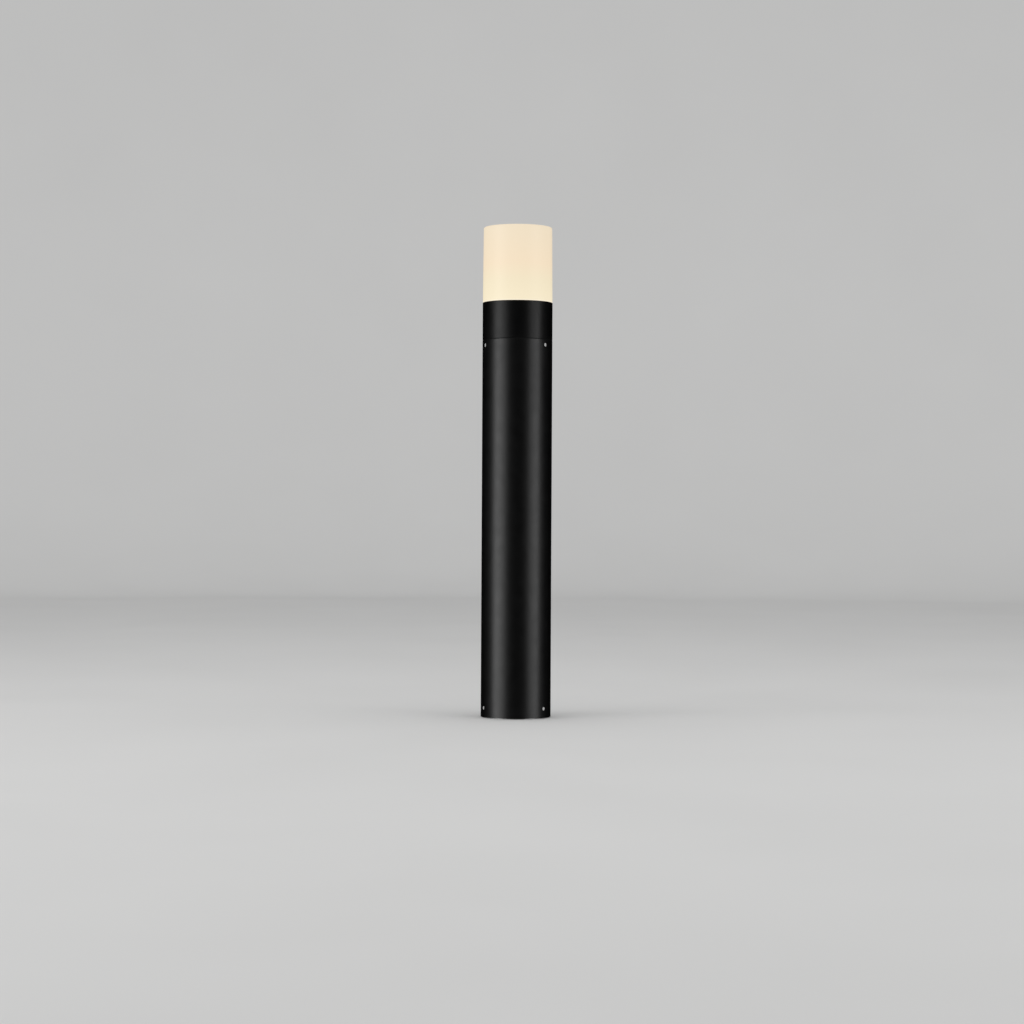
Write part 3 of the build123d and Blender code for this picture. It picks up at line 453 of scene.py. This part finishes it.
def fuseFinish(settings):
    finish = startFinish("fuseGlass", {"Coat Weight": 0.6, "Coat Roughness": 0.05})
    low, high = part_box("fuse")
    share = spread(finish, along(finish, "X"), 0.0, 1.0, low.x, high.x)
    cap = settings["capShare"]
    ends = blendColors(finish, share, [(0.0, (1, 1, 1)), (cap, (0, 0, 0)), (1 - cap, (1, 1, 1))], steps=True)
    mix = addNode(finish, "ShaderNodeMix", data_type="RGBA")
    join(finish, ends, mix.inputs[0])
    scuffs = noise(finish, 300.0, detail=5.0)
    glass = tuple(0.94 * v for v in settings["glass"])
    join(finish, blendColors(finish, scuffs, [(0.3, glass), (0.7, settings["glass"])]), mix.inputs[6])
    mix.inputs[7].default_value = (*settings["cap"], 1)
    tint(finish, mix.outputs[2])
    tint(finish, ends, "Metallic")
    between(finish, scuffs, *settings["polish"])
    relief(finish, noise(finish, 900.0), 0.00001, 0.3)
    return finish["material"]


# lit finishes inside the head: the lamp's globe and its light-emitting chips
litFinishes = {
    "lampGlobe": {"body": (0.42, 0.40, 0.35), "glow": ((1.0, 0.78, 0.50), (1.0, 0.84, 0.60)),
                  "strength": 0.62, "patches": 26.0, "polish": (0.3, 0.42)},
    "ledPhosphor": {"body": (0.84, 0.62, 0.18), "glow": ((1.0, 0.66, 0.30), (1.0, 0.78, 0.46)),
                    "strength": 3.0, "patches": 320.0, "polish": (0.4, 0.55)},
}


def litFinish(name, settings):
    finish = startFinish(name, {"Emission Strength": settings["strength"]})
    body = settings["body"]
    patches = noise(finish, settings["patches"], detail=3.0)
    tint(finish, blendColors(finish, patches, [(0.3, tuple(0.95 * v for v in body)), (0.7, body)]))
    tint(finish, blendColors(finish, patches, list(zip((0.3, 0.7), settings["glow"]))), "Emission Color")
    between(finish, noise(finish, settings["patches"] * 4), *settings["polish"])
    relief(finish, noise(finish, 800.0), 0.00001, 0.3)
    return finish["material"]


materials = {name: plainFinish(name, settings) for name, settings in plainFinishes.items()}
materials.update({name: litFinish(name, settings) for name, settings in litFinishes.items()})
materials.update({
    "columnCoat": powderCoat("columnCoat", columnCoat),
    "headCoat": powderCoat("headCoat", headCoat),
    "opalLit": opalFinish(opalCap),
    "castAluminium": castFinish(castAluminium),
    "turnedAluminium": turnedFinish(turnedAluminium),
    "zincSheet": zincFinish(zincSheet),
    "glazedCeramic": ceramicFinish(ceramicGlaze),
    "braidedLead": braidFinish(braidedLead),
    "earthWire": wireFinish("earthWire", wireColors),
    "coreWires": wireFinish("coreWires", wireColors),
    "fuseGlass": fuseFinish(fuseLook),
})
print("materials made:", len(materials))

# what each CAD node is made of
finishOfSlot = {
    "column_coat": "columnCoat", "head_coat": "headCoat", "cast_aluminium": "castAluminium",
    "zinc_steel": "zincSheet", "stainless": "stainless", "brass": "brass", "nickel": "nickel",
    "box_grey": "boxGrey", "gland_grey": "glandGrey", "terminal_plastic": "naturalNylon",
    "disc_plastic": "discBlack", "seal_rubber": "sealRubber", "seal_silicone": "sealSilicone",
    "lead_jacket": "braidedLead", "core_insulation": "coreWires", "earth_insulation": "earthWire",
    "fuse_glass": "fuseGlass", "holder_ceramic": "glazedCeramic", "lamp_white": "lampWhite",
    "lamp_black": "lampBlack", "lamp_opal": "lampGlobe", "led": "ledPhosphor", "board": "paleBoard",
    "opal": "opalLit", "reflector_white": "whiteEnamel",
}
finishOfNode = {"top_collar": "turnedAluminium", "bottom_collar": "turnedAluminium"}
setScrews = [joint for name, joint in joints.items() if name.endswith("_turn_out")]
finishOfNode.update({joint["child"]: "screwSteel" for joint in setScrews})


def finishFor(node):
    return materials[finishOfNode.get(node, finishOfSlot[slotOf[node]])]


for node, thing in cadNodes.items():
    for slot in thing.material_slots:
        slot.material = finishFor(node)
print("materials put on the frame's nodes")


# helpers for new pieces
def finishMesh(name, mesh):
    data = bpy.data.meshes.new(name)
    mesh.to_mesh(data)
    mesh.free()
    piece = bpy.data.objects.new(name, data)
    scene.collection.objects.link(piece)
    return piece


def dress(piece, node, sharp=35):
    data = piece.data
    data.materials.clear()
    data.materials.append(finishFor(node))
    for face in data.polygons:
        face.use_smooth = True
    data.set_sharp_from_angle(angle=math.radians(sharp))
    # large faces stay flat beside their rounded edges
    weigh = piece.modifiers.new("weigh", "WEIGHTED_NORMAL")
    weigh.keep_sharp = True
    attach(piece, cadNodes[node]["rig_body"])
    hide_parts(node)


def spunMesh(name, outline, rounded=(), steps=256, closed=True):
    mesh = bmesh.new()
    corners = [mesh.verts.new((radius, 0, z)) for radius, z in outline]
    pairs = list(zip(corners, corners[1:])) + ([(corners[-1], corners[0])] if closed else [])
    for pair in pairs:
        mesh.edges.new(pair)
    for indices, size, segments in rounded:
        bmesh.ops.bevel(mesh, geom=[corners[index] for index in indices], offset=size, offset_type="OFFSET",
                        segments=segments, profile=0.5, affect="VERTICES", material=-1)
    bmesh.ops.spin(mesh, geom=mesh.verts[:] + mesh.edges[:], cent=(0, 0, 0), axis=(0, 0, 1),
                   angle=math.tau, steps=steps, use_merge=True)
    bmesh.ops.remove_doubles(mesh, verts=mesh.verts, dist=0.000001)
    bmesh.ops.recalc_face_normals(mesh, faces=mesh.faces)
    return finishMesh(name, mesh)


def radii(node, low, high):
    reach = [vert.co.xy.length for vert in cadNodes[node].data.vertices if low <= vert.co.z <= high]
    return min(reach), max(reach)


def middle(node):
    low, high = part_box(node)
    return (low + high) / 2


def cutAway(piece, cutter):
    modifier = piece.modifiers.new("cut", "BOOLEAN")
    modifier.object = cutter
    modifier.solver = "EXACT"
    evaluated = piece.evaluated_get(bpy.context.evaluated_depsgraph_get())
    cut = bpy.data.meshes.new_from_object(evaluated)
    piece.modifiers.clear()
    piece.data = cut
    bpy.data.objects.remove(cutter)


# column: a tube with six drilled holes for the set screws
columnSettings = {"edge": 0.0003, "holeRadius": 0.00275, "band": 0.005}


def makeColumn(settings):
    low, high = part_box("column_tube")
    outer = high.x
    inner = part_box("top_collar")[1].x
    heights = sorted({round(middle(joint["child"]).z, 6) for joint in setScrews})
    rows = [z + side * settings["band"] for z in heights for side in (-1, 1)]
    outline = [(outer, low.z)] + [(outer, z) for z in rows] + [(outer, high.z)]
    outline += [(inner, high.z)] + [(inner, z) for z in reversed(rows)] + [(inner, low.z)]
    column = spunMesh("columnTube", outline, [([0, len(rows) + 1], settings["edge"], 3)])
    cutter = bmesh.new()
    for joint in setScrews:
        axis = Vector(joint["axis"])
        turn = axis.to_track_quat("Z", "Y").to_matrix().to_4x4()
        across = axis * (outer + inner) / 2 + Vector((0, 0, middle(joint["child"]).z))
        bmesh.ops.create_cone(cutter, cap_ends=True, segments=48, radius1=settings["holeRadius"],
                              radius2=settings["holeRadius"], depth=(outer - inner) * 3,
                              matrix=Matrix.Translation(across) @ turn)
    cutAway(column, finishMesh("columnCutter", cutter))
    dress(column, "column_tube")


makeColumn(columnSettings)

# head: the outer ring and the spigot below it, turned in one piece
headSettings = {"edge": 0.0005, "lowerEdge": 0.0004, "seam": 0.0006,
                "screwAngles": (30, 150, 270), "screwHole": 0.0015, "overcut": 0.0001}


def makeHead(settings):
    low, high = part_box("head_ring")
    gasketLow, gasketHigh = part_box("head_gasket")
    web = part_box("reflector")[0].z
    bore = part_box("diffuser_bond")[1].x
    spigotBore, spigotOuter = radii("head_ring", low.z, gasketLow.z - 0.001)
    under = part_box("column_tube")[1].z + settings["seam"]
    outline = [(high.x, high.z), (high.x, under), (gasketHigh.x, under), (gasketHigh.x, gasketHigh.z),
               (spigotOuter, gasketHigh.z), (spigotOuter, low.z), (spigotBore, low.z), (spigotBore, web),
               (bore, web), (bore, high.z)]
    rounded = [([0, 9], settings["edge"], 3), ([1, 5, 6], settings["lowerEdge"], 2)]
    head = spunMesh("headRing", outline, rounded)
    cutter = bmesh.new()
    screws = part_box("reflector_screws")
    depth = web - screws[0].z
    middleHeight = Vector((0, 0, web - depth / 2))
    reach = radii("reflector_screws", screws[0].z, screws[1].z)
    for angle in settings["screwAngles"]:
        around = math.radians(angle)
        place = Vector((math.cos(around), math.sin(around), 0)) * sum(reach) / 2 + middleHeight
        bmesh.ops.create_cone(cutter, cap_ends=True, segments=32, radius1=settings["screwHole"],
                              radius2=settings["screwHole"], depth=depth + settings["overcut"],
                              matrix=Matrix.Translation(place))
    cutAway(head, finishMesh("headCutter", cutter))
    dress(head, "head_ring")


makeHead(headSettings)

# diffuser: an opal cap with a slight draft, a rounded top and a neck that goes down into the ring
capSettings = {"draft": 0.47, "wall": 0.003, "edge": 0.002, "innerEdge": 0.0006, "shoulder": 0.0035,
               "slope": 0.001, "lip": 0.0002}


def makeDiffuser(settings):
    low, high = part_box("diffuser")
    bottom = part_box("head_ring")[1].z + settings["lip"]
    outer = high.x
    wall = settings["wall"]
    neck = radii("diffuser", low.z, low.z + 0.001)[1]
    upper = outer - (high.z - bottom) * math.tan(math.radians(settings["draft"]))
    shoulder = bottom + settings["shoulder"]
    outline = [(0, high.z), (upper, high.z), (outer, bottom), (neck, bottom), (neck, low.z),
               (neck - wall, low.z), (neck - wall, shoulder - settings["slope"]), (outer - wall, shoulder),
               (upper - wall, high.z - wall), (0, high.z - wall)]
    rounded = [([1], settings["edge"], 8), ([2], settings["lip"], 2), ([6, 7, 8], settings["innerEdge"], 3)]
    dress(spunMesh("diffuserCap", outline, rounded, closed=False), "diffuser")


makeDiffuser(capSettings)
print("outer pieces made")


# a rolled screw thread: a wavy line for each side of the wall is spun up a helix,
# then cut level and closed at both ends
def threadedShell(name, settings, start, low, high):
    pitch, steps, count, wall = (settings[key] for key in ("pitch", "steps", "wavePoints", "wall"))
    turns = math.ceil((high - low) / pitch) + 3
    first = start - pitch * (math.ceil((start - low) / pitch) + 1)
    middleRadius = (settings["crest"] + settings["root"]) / 2
    swing = (settings["crest"] - settings["root"]) / 2
    mesh = bmesh.new()
    for step in (0, wall):
        chain = []
        for point in range(count + 1):
            radius = middleRadius + step + swing * math.cos(math.tau * point / count)
            chain.append(mesh.verts.new((radius, 0, first + pitch * point / count)))
        edges = [mesh.edges.new(pair) for pair in zip(chain, chain[1:])]
        bmesh.ops.spin(mesh, geom=chain + edges, cent=(0, 0, 0), axis=(0, 0, 1), dvec=(0, 0, pitch / steps),
                       angle=math.tau * turns, steps=steps * turns, use_merge=False)
    bmesh.ops.remove_doubles(mesh, verts=mesh.verts, dist=0.00001)
    for z, up in ((low, -1), (high, 1)):
        bmesh.ops.bisect_plane(mesh, geom=mesh.verts[:] + mesh.edges[:] + mesh.faces[:], dist=0.0000001,
                               plane_co=(0, 0, z), plane_no=(0, 0, up), clear_outer=True)
    bmesh.ops.remove_doubles(mesh, verts=mesh.verts, dist=0.000002)
    for vert in mesh.verts:  # the thread fades out to a plain tube at both ends
        x, y, z = vert.co
        reach = vert.co.xy.length
        fade = max(0.0, min(1.0, (z - low) / settings["runIn"], (high - z) / settings["runOut"]))
        wave = middleRadius + swing * math.cos(math.tau * (z - start) / pitch - math.atan2(y, x))
        plain = settings["plain"] + (wall if abs(reach - wave) > abs(wall) / 2 else 0)
        vert.co.xy *= (plain + (reach - plain) * fade) / reach
    for z in (low, high):
        rim = [edge for edge in mesh.edges if edge.is_boundary and abs(edge.verts[0].co.z - z) < 0.00001]
        bmesh.ops.triangle_fill(mesh, edges=rim, use_beauty=True, normal=(0, 0, 1))
    bmesh.ops.recalc_face_normals(mesh, faces=mesh.faces)
    return finishMesh(name, mesh)


# lamp cap and lampholder sleeve: their threads are in step, so the lamp can turn and rise in the sleeve
threadPitch = 0.00362
lampCapSettings = {"pitch": threadPitch, "steps": 72, "wavePoints": 12, "crest": 0.01308, "root": 0.01215,
                   "plain": 0.0122, "runIn": 0.0015, "runOut": 0.003, "wall": -0.0006}
sleeveSettings = {"pitch": threadPitch, "steps": 72, "wavePoints": 12, "crest": 0.01330, "root": 0.01237,
                  "plain": 0.01405, "runIn": 0.002, "runOut": 0.002, "wall": 0.0005}


def makeThreads():
    lampLow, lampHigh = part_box("lamp_cap")
    sleeveLow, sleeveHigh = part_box("lampholder_sleeve")
    dress(threadedShell("lampCap", lampCapSettings, lampLow.z, lampLow.z, lampHigh.z), "lamp_cap", 60)
    sleeve = threadedShell("lampholderSleeve", sleeveSettings, lampLow.z, sleeveLow.z, sleeveHigh.z)
    dress(sleeve, "lampholder_sleeve", 60)


makeThreads()
print("threads made")

# folds of the gear tray: the web turns back into the flanges and forward into the shelf
trayFolds = {"sheet": 0.002, "outer": 0.0025, "inner": 0.0005, "near": 0.00005}


def foldTest(**corner):
    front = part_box("junction_box_body")[1].y
    near = trayFolds["near"]

    def isBend(edge):
        places = [{"x": abs(vert.co.x), "y": vert.co.y - front, "z": vert.co.z} for vert in edge.verts]
        return all(abs(place[axis] - value) < near for place in places for axis, value in corner.items())

    return isBend


def trayBends():
    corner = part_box("gear_tray")[1]
    half, top, sheet = corner.x, corner.z, trayFolds["sheet"]
    return [
        (trayFolds["outer"], foldTest(x=half, y=0)),
        (trayFolds["inner"], foldTest(x=half - sheet, y=sheet)),
        (trayFolds["inner"], foldTest(y=0, z=top - sheet)),
    ]


# pieces that keep their frame shape but get worn, rounded edges: a copy of the node is merged and beveled
softEdges = {
    "junctionBoxBody": {"node": "junction_box_body", "width": 0.0004, "segments": 2},
    "junctionBoxLid": {"node": "junction_box_lid", "width": 0.0004, "segments": 2},
    "footCasting": {"node": "foot_casting", "width": 0.0006, "segments": 2},
    "lampholderBody": {"node": "lampholder_body", "width": 0.0006, "segments": 3},
    "centringDisc": {"node": "centring_disc", "width": 0.0004, "segments": 2},
    "terminalBlock": {"node": "terminal_block", "width": 0.0003, "segments": 2},
    "fuseBase": {"node": "fuse_base", "width": 0.0003, "segments": 2},
    "supplyGlandNut": {"node": "supply_gland_nut", "width": 0.0003, "segments": 2},
    "leadGlandNut": {"node": "lead_gland_nut", "width": 0.0003, "segments": 2},
    "leadClips": {"node": "lead_clips", "width": 0.0002, "segments": 2},
    "gearTray": {"node": "gear_tray", "width": 0.0003, "segments": 2, "bends": trayBends()},
}


copySettings = {"merge": 0.000002, "flat": 0.3, "sharp": 32}  # metres and degrees


def softenedCopy(name, settings):
    mesh = bmesh.new()
    mesh.from_mesh(cadNodes[settings["node"]].data)
    bmesh.ops.remove_doubles(mesh, verts=mesh.verts, dist=copySettings["merge"])
    flat, limit = math.radians(copySettings["flat"]), math.radians(copySettings["sharp"])
    bmesh.ops.dissolve_limit(mesh, angle_limit=flat, verts=mesh.verts, edges=mesh.edges)
    for radius, isBend in settings.get("bends", ()):
        bends = [edge for edge in mesh.edges if isBend(edge)]
        bmesh.ops.bevel(mesh, geom=bends, offset=radius, offset_type="OFFSET", profile=0.5, segments=6,
                        affect="EDGES", material=-1, clamp_overlap=True)
    sharp = [edge for edge in mesh.edges if len(edge.link_faces) == 2 and edge.calc_face_angle() > limit]
    bmesh.ops.bevel(mesh, geom=sharp, offset=settings["width"], offset_type="OFFSET", profile=0.5,
                    segments=settings["segments"], affect="EDGES", material=-1, clamp_overlap=True)
    bmesh.ops.triangulate(mesh, faces=[face for face in mesh.faces if len(face.verts) > 4])
    dress(finishMesh(name, mesh), settings["node"])


for name, settings in softEdges.items():
    softenedCopy(name, settings)
print("edges softened on", len(softEdges), "pieces")


# studio: a pale round floor that curves up into a wall all round, so that every side has the same backdrop
studio = {
    "paper": (0.72, 0.72, 0.715),
    "floorRadius": 5.0,
    "curve": 1.5,
    "wallHeight": 5.0,
    "steps": 96,
    "curveSteps": 24,
    "merge": 0.0001,
    "roomColor": (1.0, 1.0, 1.0),
    "roomStrength": 0.65,
}


def makeStage(settings):
    mesh = bmesh.new()
    reach, curve = settings["floorRadius"], settings["curve"]
    center = mesh.verts.new((0, 0, 0))
    edge = mesh.verts.new((reach, 0, 0))
    mesh.edges.new((center, edge))
    bmesh.ops.spin(mesh, geom=[edge], cent=(reach, 0, curve), axis=(0, -1, 0), angle=math.pi / 2,
                   steps=settings["curveSteps"])
    last = max(mesh.verts, key=lambda vert: (round(vert.co.x, 6), vert.co.z))
    top = mesh.verts.new((last.co.x, 0, settings["wallHeight"]))
    mesh.edges.new((last, top))
    bmesh.ops.spin(mesh, geom=mesh.verts[:] + mesh.edges[:], cent=(0, 0, 0), axis=(0, 0, 1),
                   angle=math.tau, steps=settings["steps"], use_merge=True)
    bmesh.ops.remove_doubles(mesh, verts=mesh.verts, dist=settings["merge"])
    bmesh.ops.recalc_face_normals(mesh, faces=mesh.faces)
    stage = finishMesh("studioStage", mesh)
    paper = settings["paper"]
    finish = plainFinish("studioPaper", {"tones": (tuple(0.98 * v for v in paper), paper), "patches": 1.5,
                                         "polish": (0.75, 0.85), "grain": 30.0, "depth": 0.0002})
    stage.data.materials.append(finish)
    for face in stage.data.polygons:
        face.use_smooth = True
    stage.visible_glossy = False
    stage.visible_diffuse = False
    stage.visible_shadow = False  # the boxes reach below the floor, so the column's foot is lit like the rest


makeStage(studio)

# angles are measured from the camera's side of the column, positive to the right
sideBox = {"distance": 3.0, "height": 0.26, "tall": 2.1}
softBoxes = {
    "leftBox": dict(sideBox, angle=-66, width=1.35, power=37.0),
    "leftInnerBox": dict(sideBox, angle=-45, width=0.85, power=11.5),
    "rightBox": dict(sideBox, angle=68, width=0.85, power=19.5),
    "rightInnerBox": dict(sideBox, angle=50, width=0.85, power=12.0),
    "topBox": {"angle": 0, "distance": 0.2, "height": 3.2, "width": 3.0, "tall": 3.0, "power": 20.0},
}
highestAim = 0.5  # a box above this height is turned down towards it


def makeSoftBox(name, settings):
    data = bpy.data.lights.new(name, "AREA")
    data.shape = "RECTANGLE"
    data.size = settings["width"]
    data.size_y = settings["tall"]
    data.energy = settings["power"]
    light = bpy.data.objects.new(name, data)
    around = math.radians(cameraSetup["azimuth"] + settings["angle"])
    outwards = Vector((math.sin(around), -math.cos(around), 0))
    place = outwards * settings["distance"] + Vector((0, 0, settings["height"]))
    light.location = place
    aim = Vector((0, 0, min(settings["height"], highestAim)))
    light.rotation_mode = "QUATERNION"
    light.rotation_quaternion = (aim - place).to_track_quat("-Z", "Y")
    light.visible_camera = False
    scene.collection.objects.link(light)


for name, settings in softBoxes.items():
    makeSoftBox(name, settings)


def lightRoom(settings):
    world = bpy.data.worlds.new("studioRoom")
    world.use_nodes = True
    room = world.node_tree.nodes["Background"]
    room.inputs["Color"].default_value = (*settings["roomColor"], 1)
    room.inputs["Strength"].default_value = settings["roomStrength"]
    # the room lights matt surfaces, and the black coat shows only the boxes
    world.cycles_visibility.glossy = False
    scene.world = world


lightRoom(studio)
print("studio lit")
